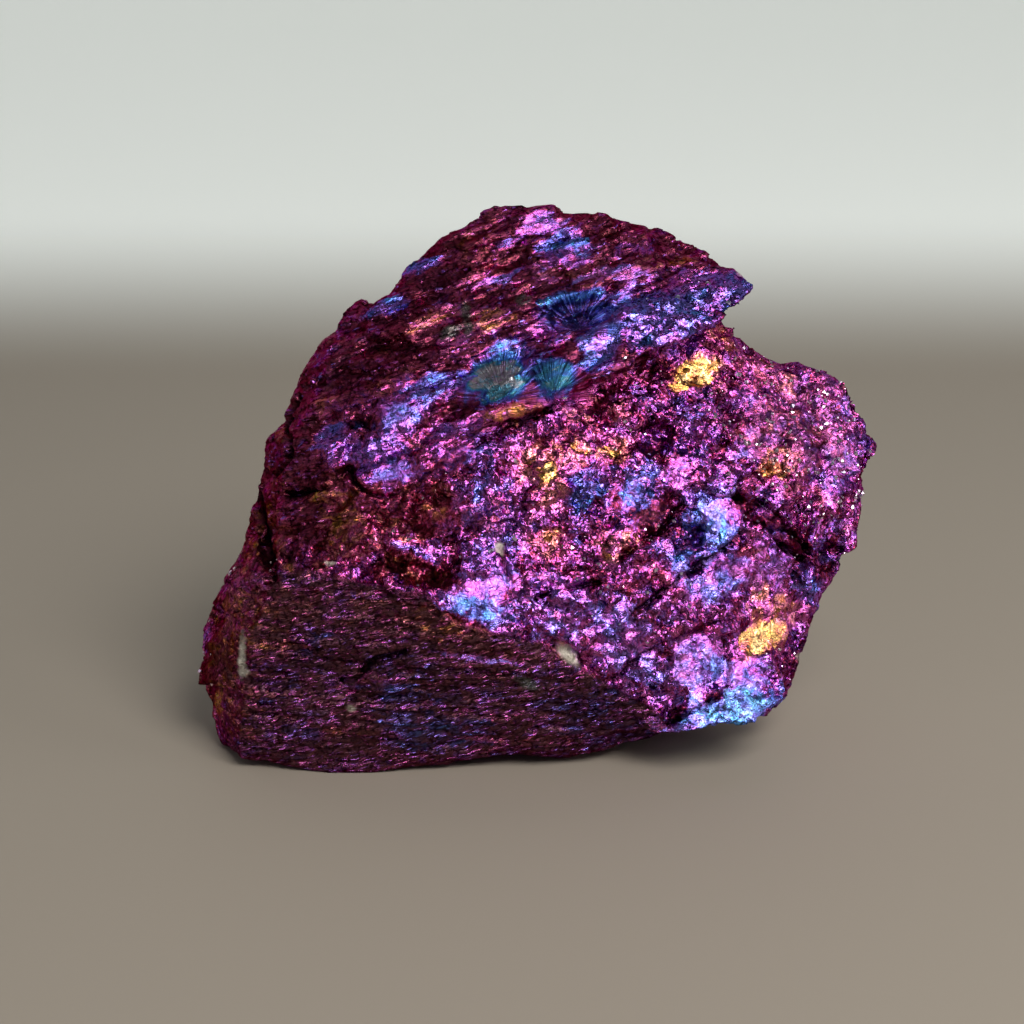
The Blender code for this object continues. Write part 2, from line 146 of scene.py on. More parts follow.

# Coloured patches of the display side: right and up of the middle, length, width, turn of the long
# axis in degrees, tarnish, light from about -1 (painted shade) to 1 (painted highlight), and
# strength.
PATCHES = {
    "left_wine": (-25, 38, 25, 17, 35, PINK, -0.75, 0.85),
    "cleft_wine": (-39, 34, 20, 7, 75, SALMON, -0.7, 0.9),
    "left_rim": (-44, 18, 28, 8, 85, SALMON, -0.6, 0.9),
    "right_mauve": (36, 49, 22, 18, 60, MAGENTA, 0.5, 0.7),
    "middle_pink": (4, 45, 22, 12, 40, PINK, 0.35, 0.6),
    "middle_lilac": (2, 24, 16, 10, -25, VIOLET, 0.6, 0.7),
    "low_bright": (27, 14, 12, 12, 30, VIOLET, 0.8, 0.7),
    "top_pink": (0.3, 78.4, 11, 2.6, -4, MAGENTA + 0.03, 0.85, 1.0),
    "top_blue": (3.2, 75.8, 8.6, 4.4, 14, BLUE, 0.5, 0.95),
    "layer_shade": (7, 69.5, 15, 1.8, 4, MAGENTA, -0.9, 0.9),
    "layer_glints": (7.0, 70.8, 12, 1.3, 4, VIOLET, 1.0, 1.0),
    "layer_glints_high": (13.4, 72.0, 8, 1.1, -6, VIOLET, 0.9, 0.9),
    # Painted highlight right of the pit.
    "pit_highlight": (11.6, 67.6, 4.0, 3.4, 20, INDIGO, 0.9, 0.9),
    "top_violet": (-5.6, 75.4, 6, 2.0, 20, INDIGO, -0.1, 0.9),
    "top_purple": (3.6, 73.2, 9, 2.8, 8, VIOLET - 0.03, 0.2, 0.9),
    "top_brown": (-10, 75.4, 9, 4, 30, PINK, -0.8, 0.9),
    "dome_spark": (-5.8, 70.4, 3.4, 1.8, 10, VIOLET, 0.9, 0.95),
    "top_rim_violet": (14, 74.6, 8, 1.8, -14, VIOLET, 0.2, 0.8),
    "high_blue": (-17, 72.6, 6, 2.0, 28, INDIGO, 0.3, 0.9),
    "left_blue": (-22.4, 66.4, 7, 1.6, 28, INDIGO, 0.3, 0.9),
    "left_blue_low": (-26.4, 61.6, 5, 1.2, 22, INDIGO, 0.2, 0.9),
    "dome_salmon": (-6.6, 65.0, 8, 3.4, 6, SALMON, 0.6, 0.95),
    "dome_salmon_left": (-14.2, 65.4, 6, 4.6, 30, PINK, 0.3, 0.8),
    "dome_salmon_low": (-12.6, 61.8, 7, 1.4, 18, PINK, 0.5, 0.9),
    "dome_magenta": (0.4, 63.4, 8, 3.2, -6, MAGENTA + 0.02, 0.7, 1.0),
    "left_ember": (-28, 36.8, 7, 6, 60, ORANGE, -0.5, 0.7),
    "left_ember_high": (-30.8, 51.8, 6, 3, 30, ORANGE, -0.4, 0.8),
    "left_ember_middle": (-31.6, 39.0, 3, 2.4, 0, ORANGE, -0.2, 0.9),
    "left_red": (-36.6, 47.4, 8, 2.6, 75, SALMON, -0.4, 0.9),
    # Painted shade in the gap.
    "left_gap": (-25.2, 49.6, 6, 1.8, 5, INDIGO, -1.2, 0.95),
    "left_dusty_pink": (-41.8, 27.5, 9, 5, 70, PINK, 0.0, 0.8),
    "left_shade_low": (-46.2, 17, 13, 3.4, 86, SALMON, -1.0, 0.95),
    "left_ember_foot": (-46.0, 9.7, 3.6, 1.5, 85, ORANGE, 0.6, 1.0),
    "left_ember_rim": (-45.6, 19.9, 2.0, 1.6, 0, ORANGE + 0.02, 0.6, 1.0),
    "left_ember_chip": (-41.3, 18.2, 2.2, 1.5, 80, ORANGE + 0.03, 0.4, 0.9),
    "left_ember_fold": (-40.6, 26.0, 2.8, 1.8, 60, ORANGE + 0.03, 0.3, 0.9),
    "left_ember_cleft": (-35.7, 28.5, 2.6, 1.6, 40, ORANGE + 0.03, 0.4, 0.9),
    "left_violet": (-30.4, 46.6, 7, 5, 50, INDIGO, 0.0, 0.9),
    "fan_pit": (5.4, 65.4, 11.5, 6.4, 6, BLUE - 0.03, -0.9, 1.0),
    "fan_pit_rim": (5.0, 67.8, 10, 2.2, 8, CYAN, 0.3, 0.9),
    "silver_fan": (-6.0, 56.2, 10.4, 7.4, 12, SILVER, 0.6, 0.93),
    "blue_strip": (-4.2, 60.0, 11, 3.0, 10, BLUE - 0.02, 0.5, 1.0),
    "teal_fan": (1.8, 56.2, 7.0, 6.4, 20, TEAL, 0.0, 1.0),
    "cyan_patch": (8.0, 59.8, 6.6, 5.4, 35, BLUE - 0.02, 0.4, 1.0),
    "ledge_blue": (18.6, 65.4, 25, 9.0, 21, INDIGO, 0.5, 1.0),
    "ledge_tip": (27.5, 69, 6, 4, 20, INDIGO, 0.3, 0.9),
    "ledge_magenta": (21.8, 70.4, 6, 3.4, 20, PURPLE, 0.7, 0.9),
    "ledge_rim": (20.4, 73.2, 12, 1.0, 3, GOLD, 0.6, 0.45),
    "lilac_high": (-19.8, 51.2, 8, 6.0, 35, INDIGO - 0.01, 0.5, 0.95),
    "lilac_middle": (-16.0, 54.8, 9, 6.0, 10, INDIGO - 0.02, 0.5, 0.95),
    "white_spark": (-11.4, 53.8, 3.0, 2.6, 20, VIOLET, 0.9, 1.0),
    "violet_band": (-22.6, 46.4, 12, 6.0, 22, VIOLET + 0.02, 0.35, 0.95),
    "lilac_low": (-20.4, 42.4, 9, 4.4, 10, VIOLET + 0.04, 0.35, 0.95),
    "magenta_under": (-14.6, 46.4, 8, 4.4, 15, MAGENTA, 0.0, 0.9),
    "wine_middle": (-15.6, 36.4, 9, 6, 20, PINK, -0.7, 0.9),
    "mauve_middle": (-7, 36.4, 8, 7, 50, MAGENTA, -0.1, 0.8),
    "seam_salmon": (-4.6, 51.4, 12, 3.0, 15, SALMON, 0.5, 1.0),
    "seam_magenta": (-12, 49.2, 9, 3.0, 15, PURPLE, 0.6, 0.9),
    "pink_high": (5.4, 51.6, 7, 4, 30, PINK, 0.6, 0.9),
    "salmon_middle": (0.8, 44.4, 5, 8, 20, SALMON, 0.5, 0.8),
    "gold_high": (22.1, 56.9, 7.5, 5.0, 20, GOLD + 0.04, 0.7, 1.0),
    "salmon_high": (26.2, 61.6, 5, 6, 30, SALMON, 0.4, 0.8),
    "pink_shoulder": (31.4, 57.4, 9, 4, -20, PINK, 0.3, 0.8),
    "gold_drop": (5, 46, 3.2, 2.0, 30, GOLD, 0.6, 0.8),
    "gold_streak": (9, 46, 3.2, 1.4, 10, GOLD, 0.5, 0.8),
    "gold_low": (0.8, 42, 2.0, 2.6, 0, GOLD, 0.5, 0.8),
    "right_ember": (34.0, 43.6, 4.4, 4.0, 30, ORANGE, 0.3, 0.8),
    "right_lilac": (42.6, 42, 4.4, 9, -8, PURPLE, 0.6, 0.8),
    "slot_salmon": (12, 46.4, 4.6, 4.6, 50, SALMON, 0.4, 0.8),
    # Painted shade in the slot.
    "slot_shade": (16.4, 47.6, 2.0, 5.4, -35, VIOLET, -0.7, 0.9),
    "middle_blue": (7.2, 40.2, 7, 5.6, 60, BLUE, 0.15, 0.9),
    "middle_violet": (14.6, 39.6, 8, 6, 45, INDIGO, 0.0, 0.95),
    "lens_face": (15.6, 36.4, 7, 3.0, 38, MAGENTA, -0.7, 0.8),
    "lens_edge": (13.6, 33.0, 11, 1.0, 36, GOLD, 0.0, 0.6),
    "lens_lilac": (19.4, 42.4, 6, 4, 45, PURPLE, 0.7, 0.85),
    "blue_left": (24.2, 36.0, 10.0, 7.6, -20, INDIGO, 0.5, 1.0),
    "blue_right": (27.4, 33.6, 5, 4.0, 50, INDIGO + 0.05, 0.35, 0.95),
    "blue_pale": (28.3, 29.4, 4.4, 3.4, 0, INDIGO, 0.8, 1.0),
    "pink_spot": (18.2, 28.8, 2.8, 3.6, 0, PINK, 0.7, 0.95),
    "lilac_low_right": (23.2, 25.8, 8, 4.4, 10, VIOLET, 0.75, 0.95),
    "low_middle_lilac": (12, 18.4, 14, 9, -35, VIOLET - 0.03, 0.85, 0.85),
    "wing_dark": (29.6, 38.4, 8, 2.4, -12, MAGENTA, -1.1, 0.95),
    "wing_dark_middle": (32.0, 36.0, 5, 3.6, -30, MAGENTA, -1.0, 0.95),
    "wing_dark_low": (35.4, 33.6, 7, 3.0, -40, MAGENTA, -0.9, 0.95),
    # Painted shade in the hole.
    "hole_shade": (22.3, 33.0, 2.6, 3.6, 0, PINK, -1.0, 0.95),
    "blue_under": (21.6, 30.4, 7, 6, 40, INDIGO, 0.3, 0.95),
    "lilac_right": (26.0, 27.6, 11, 7, 30, VIOLET + 0.02, 0.65, 0.95),
    "pink_right": (32.6, 29.4, 6.0, 10, -15, MAGENTA + 0.04, 0.8, 0.95),
    "blue_edge": (38.6, 26, 4.4, 7, 10, INDIGO, 0.3, 0.8),
    "pink_low_middle": (11.2, 33, 6, 4.6, 20, PINK, 0.55, 0.8),
    "salmon_low_middle": (1.2, 33, 6, 4, 40, SALMON, 0.3, 0.7),
    "wine_groove": (14.6, 27.6, 8, 4, 35, MAGENTA, -0.5, 0.8),
    "facet_purple": (-9.0, 26.6, 13, 7.4, 38, PURPLE + 0.03, 0.5, 1.0),
    "facet_blue": (-9.8, 22.4, 10, 4.8, -10, BLUE, 0.55, 1.0),
    "facet_lilac": (-2.4, 25.0, 9, 6, 0, PURPLE + 0.02, 0.38, 0.9),
    # Painted shade in the cavity.
    "cavity_shade": (24.0, 20.2, 4.8, 2.4, -15, MAGENTA, -1.0, 0.9),
    "low_lilac": (22.2, 15.8, 8.4, 9.2, 20, PURPLE + 0.06, 0.9, 1.0),
    "low_blue": (25.2, 13.4, 3.0, 7.4, -8, BLUE - 0.03, 0.3, 0.95),
    "low_pink": (29.8, 14.0, 6.4, 7, 20, PURPLE + 0.06, 0.85, 1.0),
    "slab_tip": (22.4, 9.2, 12, 2.0, 27, MAGENTA, -1.0, 1.0),
    "low_cyan": (27.4, 8.2, 19, 6.2, 14, BLUE + 0.03, 1.15, 1.0),
    "low_cyan_left": (19.0, 5.4, 5, 1.8, 14, VIOLET, 0.7, 0.9),
    "low_gold": (31.6, 19.2, 8, 4.4, 22, GOLD + 0.03, 1.2, 1.0),
    "low_orange": (31.5, 23.4, 5.0, 4.6, 40, ORANGE + 0.05, 0.6, 0.95),
    "low_salmon": (35.2, 22.4, 5.0, 8.0, 70, SALMON + 0.03, 0.8, 0.95),
    "slab_streak": (-5.8, 15.7, 13, 0.8, -15, INDIGO, 0.9, 0.8),
    "slab_violet": (-35, 5.4, 12, 1.4, 0, VIOLET, 0.2, 0.7),
    "slab_blue": (-14, 5.6, 14, 5, -2, BLUE, -0.7, 0.6),
    "slab_red": (-14, 21.0, 12, 5, -8, SALMON, -1.0, 0.7),
    "sheet_olive": (-18.6, 29.2, 14, 4.4, -20, SALMON, -1.3, 0.9),
    "sheet_rim": (-18.4, 31.6, 9, 0.9, -18, VIOLET, 0.8, 0.8),
}

# Bare grey rock under the colours: right and up of the middle, length, width and turn.
GREY = {
    "dome_grey": (-10.5, 64.6, 5.5, 1.5, 95),
    "dome_grey_left": (-12.6, 63.0, 4.4, 1.6, 25),
    "dome_grey_right": (-2.6, 67.4, 2.2, 1.8, 20),
    "slab_grey": (-2, 12.5, 4, 1.6, -20),
}

# Dull dusty parts: right and up of the middle, length, width, turn and strength.
DUST = {
    "right_mauve": (37, 49, 16, 17, 60, 0.5),
    "left_rim": (-42.5, 20, 26, 7, 85, 0.25),
    "left_pink": (-42.4, 26, 10, 5, 60, 0.7),
    "left_shoulder": (-34, 52, 24, 6, 65, 0.4),
    "middle_grey": (-7.4, 36, 6, 7, 50, 0.5),
    "low_grey": (14, 22.6, 6, 5, 20, 0.3),
    "upper_brown": (8, 71, 24, 4.5, 5, 0.35),
    "wing_grey": (16, 36, 7, 3, 38, 0.35),
}

# Larger flat breaks: right and up of the middle, length, width, turn, and how bright they face.
PLATES = {
    "blue_facet": (-8.4, 24.4, 13, 8, 8, 1.0),
    "purple_facet": (-5.4, 27.6, 7, 5, 60, 0.6),
    "lens_plate": (15.3, 36.6, 8.6, 3.2, 38, -0.3),
    "violet_plate": (12.8, 39.4, 7, 4.4, 45, 0.3),
    "upper_blue_plate": (26.4, 36.6, 6, 6.4, 60, 0.4),
    "lilac_plate": (27.6, 28.8, 8, 5, 30, 0.7),
    "low_lilac_plate": (22.2, 15.4, 8.2, 9, 20, 0.4),
    "low_pink_plate": (29.6, 13.8, 6.4, 7, 20, 0.4),
    "gold_plate": (32, 19.6, 8, 5, 20, 1.0),
    "silver_fan_plate": (-7.2, 56.2, 9, 7, 15, 0.2),
    "teal_fan_plate": (2.2, 56.6, 6, 5, 20, 0.0),
    "lilac_high_plate": (-21, 51.4, 7, 5, 35, 0.8),
    "lilac_low_plate": (-20.6, 42.4, 9, 4.4, 10, 0.3),
    "salmon_plate": (-2.6, 51.9, 10, 2.4, 17, 0.6),
    "maroon_plate": (-14, 36, 9, 5, 25, -0.4),
    "maroon_high_plate": (-12, 44.5, 8, 4, 20, -0.3),
    "maroon_left_plate": (-27, 34, 7, 4, 30, -0.4),
}

# Where bare pale rock shows through: right, up, length, width and turn.
PALE_CHIPS = {
    "left_chip": (-42.6, 16.6, 6.4, 1.3, 88),
    "ridge_chip": (4.0, 16.4, 4.6, 1.7, -42),
    "middle_chip": (-5.7, 32, 1.2, 1.5, 20),
    "edge_chip": (37.3, 16.3, 1.0, 1.4, 0),
    "slab_chip": (-27.1, 8.9, 1.5, 0.9, -10),
    "foot_chip": (-42.4, 14.0, 1.3, 1.1, 0),
    # Painted highlight: a pale spot where a white glint shows on the sheet.
    "sheet_glint": (-29.9, 29.7, 2.0, 0.7, -10),
    "rim_chip": (29, 71.2, 2.4, 0.9, -30),
}

# Open cracks: their width, then right and up along each.
CRACKS = {
    "slab_crack": (0.65, (-28.5, 13.0), (-26.6, 13.2), (-24.6, 15.3), (-21.8, 16.2), (-19.4, 17.0)),
    "lens_crack": (0.8, (11.0, 30.5), (13.5, 32.2), (17.4, 34.8), (20.6, 38.4)),
    "groove": (0.9, (15.0, 23.6), (18.4, 26.2), (22.0, 28.6), (25.8, 31.0), (29.2, 34.0)),
    "right_crack": (0.8, (23.4, 40.2), (28.0, 39.4), (32.4, 38.0), (35.4, 35.0), (38.6, 31.2)),
    "short_crack": (0.7, (33.6, 33.2), (36.0, 31.2), (38.8, 29.8)),
    "seam_crack": (0.7, (-9.6, 46.6), (-4.0, 49.8), (2.4, 52.0)),
    "rim_fold": (0.8, (-34.6, 53.5), (-36.4, 49.5), (-35.6, 45.5), (-38.2, 42.0)),
    "left_crack": (0.6, (-36.4, 39.6), (-31.0, 40.6), (-27.4, 43.6)),
    "violet_crack": (0.6, (-27.4, 43.6), (-26.6, 41.2), (-24.6, 39.8), (-21.4, 39.4)),
    "left_cleft": (1.3, (-41.0, 41.5), (-40.0, 37.0), (-39.0, 32.0), (-38.6, 27.5)),
    "facet_crack": (0.5, (-5.6, 31.6), (-4.9, 29.4), (-4.4, 27.4)),
    "facet_step": (0.6, (26.6, 18.8), (27.3, 14.6), (27.0, 11.0)),
    "tip_crack": (0.45, (17.6, 6.4), (22.0, 8.8), (27.0, 11.2)),
    "low_crack": (0.6, (10.6, 12.8), (13.6, 15.8), (16.4, 17.4)),
    "middle_crack": (0.6, (-0.5, 24.6), (3.4, 26.4), (8.6, 27.0)),
}

# Fans of thin plates: right and up of the point they spread from, and the reach.
FANS = {
    "pit_fan": (5.6, 63.2, 6.6),
    "silver_fan": (-5.2, 53.0, 7.6),
    "teal_fan": (1.6, 53.2, 6.4),
}


class OreShape(bpy.types.PropertyGroup):
    voxel: bpy.props.FloatProperty(
        name="Voxel", description="Size of the mesh's cells", default=0.00038, unit="LENGTH"
    )
    triangles: bpy.props.IntProperty(
        name="Triangles", description="Most triangles of the stone", default=196000
    )
    ledge_step: bpy.props.FloatProperty(
        name="Ledge Step", description="Thickness of the dome's layers",
        default=0.0021, unit="LENGTH",
    )
    ledge_height: bpy.props.FloatProperty(
        name="Ledge Height", description="Relief of the dome's layers",
        default=0.00042, unit="LENGTH",
    )
    ledge_dip: bpy.props.FloatProperty(
        name="Ledge Dip", description="Slope of the dome's layers",
        default=math.radians(23), unit="ROTATION",
    )
    sheet_step: bpy.props.FloatProperty(
        name="Sheet Step", description="Thickness of the slab's sheets",
        default=0.0013, unit="LENGTH",
    )
    sheet_height: bpy.props.FloatProperty(
        name="Sheet Height", description="Relief of the slab's sheets",
        default=0.00022, unit="LENGTH",
    )
    sheet_dip: bpy.props.FloatProperty(
        name="Sheet Dip", description="Slope of the slab's sheets",
        default=math.radians(-3), unit="ROTATION",
    )
    grit_height: bpy.props.FloatProperty(
        name="Grit Height", description="Relief of the finest grit", default=0.0004, unit="LENGTH"
    )
    grain_density: bpy.props.FloatProperty(
        name="Grain Density", description="Small crystals in each square millimetre", default=0.6
    )
    grain_smallest: bpy.props.FloatProperty(
        name="Smallest Grain", description="Half width of the smallest crystals",
        default=0.00014, unit="LENGTH",
    )
    grain_largest: bpy.props.FloatProperty(
        name="Largest Grain", description="Half width of the largest crystals",
        default=0.0007, unit="LENGTH",
    )


class OreStage(bpy.types.PropertyGroup):
    floor: bpy.props.FloatVectorProperty(
        name="Floor", description="Colour of the floor",
        subtype="COLOR", default=(0.34, 0.292, 0.235),
    )
    wall: bpy.props.FloatVectorProperty(
        name="Wall", description="Colour of the wall behind",
        subtype="COLOR", default=(0.74, 0.76, 0.73),
    )
    key_power: bpy.props.FloatProperty(
        name="Key Power", description="Power of the window-like main light", default=4.2
    )
    glow: bpy.props.FloatProperty(
        name="Glow", description="How much the lit background shines", default=0.33
    )
    fill_power: bpy.props.FloatProperty(
        name="Fill Power", description="Power of the weak light from the left", default=0.35
    )
    side_power: bpy.props.FloatProperty(
        name="Side Power", description="Power of the light from the right", default=0.75
    )
    sky_power: bpy.props.FloatProperty(
        name="Sky Power", description="Strength of the light from all round", default=0.10
    )


class Wiring:
    """Adds nodes to one node tree and joins their sockets."""

    def __init__(self, tree):
        self.tree = tree

    def feed(self, socket, value):
        if isinstance(value, bpy.types.NodeSocket):
            self.tree.links.new(value, socket)
        else:
            socket.default_value = value

    def add(self, kind, inputs=None, **settings):
        node = self.tree.nodes.new(kind)
        for name, value in settings.items():
            setattr(node, name, value)
        for key, value in (inputs or {}).items():
            self.feed(node.inputs[key], value)
        return node

    def math(self, operation, *values):
        return self.add("ShaderNodeMath", dict(enumerate(values)), operation=operation).outputs[0]

    def plus(self, first, second):
        return self.math("ADD", first, second)

    def minus(self, first, second):
        return self.math("SUBTRACT", first, second)

    def times(self, first, second):
        return self.math("MULTIPLY", first, second)

    def line(self, value, slope, start):
        """value * slope + start"""
        return self.math("MULTIPLY_ADD", value, slope, start)

    def rest(self, share, strength=1.0):
        """What is left of 1 when this share, at this strength, is taken away."""
        return self.minus(1.0, share if strength == 1.0 else self.times(share, strength))

    def vector(self, operation, *values):
        node = self.add("ShaderNodeVectorMath", dict(enumerate(values)), operation=operation)
        return node.outputs["Value" if operation in ("DOT_PRODUCT", "LENGTH") else "Vector"]

    def scaled(self, vector, size):
        node = self.add("ShaderNodeVectorMath", {0: vector, "Scale": size}, operation="SCALE")
        return node.outputs["Vector"]

    def mix(self, share, first, second):
        node = self.add("ShaderNodeMix", {0: share, 2: first, 3: second})
        return node.outputs[0]

    def blend(self, share, first, second, how="MIX"):
        node = self.add(
            "ShaderNodeMix", {0: share, 6: first, 7: second}, data_type="RGBA", blend_type=how
        )
        return node.outputs[2]

    def between(self, value, low, high, low_out=0.0, high_out=1.0):
        """low_out at low, high_out at high, and in proportion between them."""
        inputs = {0: value, 1: low, 2: high, 3: low_out, 4: high_out}
        return self.add("ShaderNodeMapRange", inputs).outputs[0]

    def noise(self, place, scale, detail=2.0, roughness=0.5):
        inputs = {"Vector": place, "Scale": scale, "Detail": detail, "Roughness": roughness}
        return self.add("ShaderNodeTexNoise", inputs).outputs[0]

    def swing(self, *of_noise):
        """Noise from -0.5 to 0.5."""
        return self.minus(self.noise(*of_noise), 0.5)

    def cells(self, place, scale):
        return self.add("ShaderNodeTexVoronoi", {"Vector": place, "Scale": scale})

    def odd(self, cell, channel):
        """The cell's own random number from -0.5 to 0.5, one for each of three channels."""
        parts = self.add("ShaderNodeSeparateColor", {0: cell.outputs["Color"]})
        return self.minus(parts.outputs[channel], 0.5)

    def lean(self, cell, amount):
        """The cell's own random way to lean, up to half this amount each way."""
        off = self.vector("SUBTRACT", cell.outputs["Color"], (0.5, 0.5, 0.5))
        return self.scaled(off, amount)

    def painted(self, name, output="Fac"):
        """What the piece's vertices hold under this name."""
        return self.add("ShaderNodeAttribute", attribute_name=name).outputs[output]

    def place(self):
        """The place in millimetres, in the piece's own space."""
        return self.scaled(self.add("ShaderNodeTexCoord").outputs["Object"], 1 / MM)


def seen_places(points):
    """Right, up and toward of object-space points, as the eye sees them."""
    from_foot = points / MM - FOOT
    toward = from_foot @ TOWARD_AXIS
    reach = 1 - toward / EYE_DISTANCE
    right = EYE_RIGHT + (from_foot @ RIGHT_AXIS - EYE_RIGHT) / reach
    up = EYE_UP + (from_foot @ UP_AXIS - EYE_UP) / reach
    return right, up, toward


def object_place(right, up, toward):
    """The object-space point that the eye sees at right and up, at this depth."""
    reach = 1 - toward / EYE_DISTANCE
    right = EYE_RIGHT + (right - EYE_RIGHT) * reach
    up = EYE_UP + (up - EYE_UP) * reach
    return (FOOT + right * RIGHT_AXIS + up * UP_AXIS + toward * TOWARD_AXIS) * MM


def smooth_step(value, low, high):
    share = np.clip((value - low) / (high - low), 0, 1)
    return share * share * (3 - 2 * share)


def above(line, right, up, fade):
    """1 for places above the line, 0 below it, over a fade of this width."""
    rights, ups = zip(*line)
    return smooth_step(up - np.interp(right, rights, ups), -fade / 2, fade / 2)


def read(items, key, width=1):
    """This value of every item, one row for each."""
    values = np.empty(len(items) * width, np.float32)
    items.foreach_get(key, values)
    return values.reshape(-1, width)


class Skin:
    """The stone's vertices as the eye sees them, with the shares worked out for each."""

    def __init__(self, mesh):
        self.points = read(mesh.vertices, "co", 3).astype(float)
        self.right, self.up, self.toward = seen_places(self.points)
        self.normals = read(mesh.vertices, "normal", 3).astype(float)
        self.facing = self.normals @ TOWARD_AXIS

    def asked_at(self, points):
        """The same skin and depths, with other points to ask about in place of its own."""
        other = copy.copy(self)
        other.points = points
        other.right, other.up, other.toward = seen_places(points)
        other.depth_at = self.depth_at
        return other

    def depth_at(self, right, up):
        """How far toward the eye the skin that it sees at this place is."""
        away = np.hypot(self.right - right, self.up - up) + 100 * (self.facing < 0.05)
        return self.toward[away < away.min() + 0.8].max()

    def share(self, right, up, length, width, turn_deg, ragged=None):
        """How far each vertex is inside an oval of this place, size and turn: 1 at its middle."""
        turn = math.radians(turn_deg)
        across_right, across_up = self.right - right, self.up - up
        along = across_right * math.cos(turn) + across_up * math.sin(turn)
        across = across_up * math.cos(turn) - across_right * math.sin(turn)
        depth = (self.toward - self.depth_at(right, up)) / (max(length, width) + 3)
        far = np.sqrt((2 * along / length) ** 2 + (2 * across / width) ** 2 + depth**2)
        if ragged is not None:
            far = far + ragged
        return 1 - smooth_step(far, 0.55, 1.25)


def along_line(line, right, up):
    """How far each place is from the line, in millimetres."""
    away = np.full(len(right), 1e3)
    for (from_right, from_up), (to_right, to_up) in zip(line, line[1:]):
        step = np.array((to_right - from_right, to_up - from_up))
        share = ((right - from_right) * step[0] + (up - from_up) * step[1]) / (step @ step)
        share = np.clip(share, 0, 1)
        here = np.hypot(right - from_right - share * step[0], up - from_up - share * step[1])
        away = np.minimum(away, here)
    return away


def store(mesh, name, values):
    """Keeps a number or a vector for each vertex as an attribute of the mesh."""
    kind, key = ("FLOAT", "value") if values.ndim == 1 else ("FLOAT_VECTOR", "vector")
    attribute = mesh.attributes.new(name, kind, "POINT")
    attribute.data.foreach_set(key, values.astype(np.float32).ravel())


def waves(points, size, seed, octaves=3):
    """Smooth random heights from -1 to 1, in bumps about this many millimetres across."""
    rng = np.random.default_rng(seed)
    total = np.zeros(len(points))
    weight = 1.0
    places = points / MM / size
    for _ in range(octaves):
        for _ in range(5):
            direction = rng.normal(size=3)
            direction *= rng.uniform(0.7, 1.4) * math.pi / np.linalg.norm(direction)
            bend = places @ rng.normal(size=3) * 1.7 + rng.uniform(0, 6.3)
            total += weight * np.sin(places @ direction + rng.uniform(0, 6.3) + 1.2 * np.sin(bend))
        places = places * 2.1
        weight *= 0.5
    return np.clip(total / 5.0, -1, 1)


def bends(points, size, seed):
    """A smooth random shift of each point, up to 1 each way, in bumps of this size."""
    return np.stack([waves(points, size, seed * 7 + axis, 2) for axis in range(3)], axis=1)


def layer_places(points, dip, stretch):
    """Points in millimetres in the layers' own axes, drawn together along the layers."""
    places = points / MM
    right, up, toward = places @ RIGHT_AXIS, places @ UP_AXIS, places @ TOWARD_AXIS
    along = right * math.cos(dip) + up * math.sin(dip)
    across = up * math.cos(dip) - right * math.sin(dip) + 0.3 * toward
    return np.stack((along / stretch, across, toward / stretch), axis=1)


class Chips:
    """Splits the skin into chips round random vertices: each has a place, a lean and a chance."""

    def __init__(self, points, places, count, seed):
        rng = np.random.default_rng(seed)
        seeds = rng.choice(len(points), count, replace=False)
        tree = KDTree(count)
        for index, place in enumerate(places[seeds]):
            tree.insert(place, index)
        tree.balance()
        found = [tree.find_n(place, 2) for place in places]
        nearest = np.array([pair[0][1] for pair in found])
        away = np.array([(pair[0][2], pair[1][2]) for pair in found])
        self.edge = (away[:, 1] - away[:, 0]) / np.median(away[:, 1])
        self.middle = points[seeds][nearest]
        self.lean = rng.normal(size=(count, 3))[nearest]
        self.chance = rng.uniform(-1, 1, size=(count, 3))[nearest]

    def height(self, points, slope, jump, shingle=0.0):
        """Height in millimetres of the chips' tilted planes, each at its own level."""
        off = (points - self.middle) / MM
        tilt = (off * self.lean).sum(axis=1) * slope - off @ UP_AXIS * shingle
        return np.clip(tilt, -0.6, 0.6) + jump * self.chance[:, 0]


def flatten(skin, share, glow):
    """Moves the vertices of a plate toward one plane, turned a little by how bright it is."""
    inside = share > 0.3
    weight = share[inside, None]
    middle = (skin.points[inside] * weight).sum(0) / weight.sum()
    facing = (skin.normals[inside] * weight).sum(0)
    facing = facing / np.linalg.norm(facing) + 0.25 * glow * np.array(BRIGHT_LEAN)
    facing /= np.linalg.norm(facing)
    return -((skin.points - middle) @ facing * np.minimum(1.0, 1.4 * share))[:, None] * facing


def kinds_of_break(skin, display):
    """The shares of the slab, the layered dome and the grainy rest at each vertex."""
    dome = above(DOME_SEAM, skin.right, skin.up, 3.0)
    below = 1 - above(SLAB_RIDGE, skin.right, skin.up, 0.8)
    slab = below * display * smooth_step(skin.toward, -9, -2)
    dome *= (1 - slab) * (1 - 0.6 * skin.share(-22, 46, 22, 18, 30))
    dome *= 1 - 0.75 * skin.share(19, 65.4, 27, 9, 21)
    return slab, dome, 1 - np.maximum(slab, dome)


def crack_shares(skin, display):
    """1 along the middle of each crack, and 0 away from them."""
    right = skin.right + 0.25 * waves(skin.points, 1.5, 31)
    up = skin.up + 0.25 * waves(skin.points, 1.5, 32)
    crack = np.zeros(len(right))
    for width, *line in CRACKS.values():
        away = along_line(line, right, up)
        crack = np.maximum(crack, (1 - smooth_step(away, 0.25 * width, 0.8 * width)) * display)
    return crack


def fan_shares(skin, display):
    """How far each vertex is inside a fan, and its turn round the fan's own point."""
    fan = np.zeros(len(skin.right))
    turn = np.zeros(len(skin.right))
    for right_at, up_at, reach in FANS.values():
        right, up = skin.right - right_at, skin.up - up_at
        near = (1 - smooth_step(np.hypot(right, up), 0.75 * reach, 1.05 * reach)) * display
        near *= smooth_step(up, -1.5, 0.5)
        turn = np.where(near > fan, np.arctan2(up, right), turn)
        fan = np.maximum(fan, near)
    return fan, turn


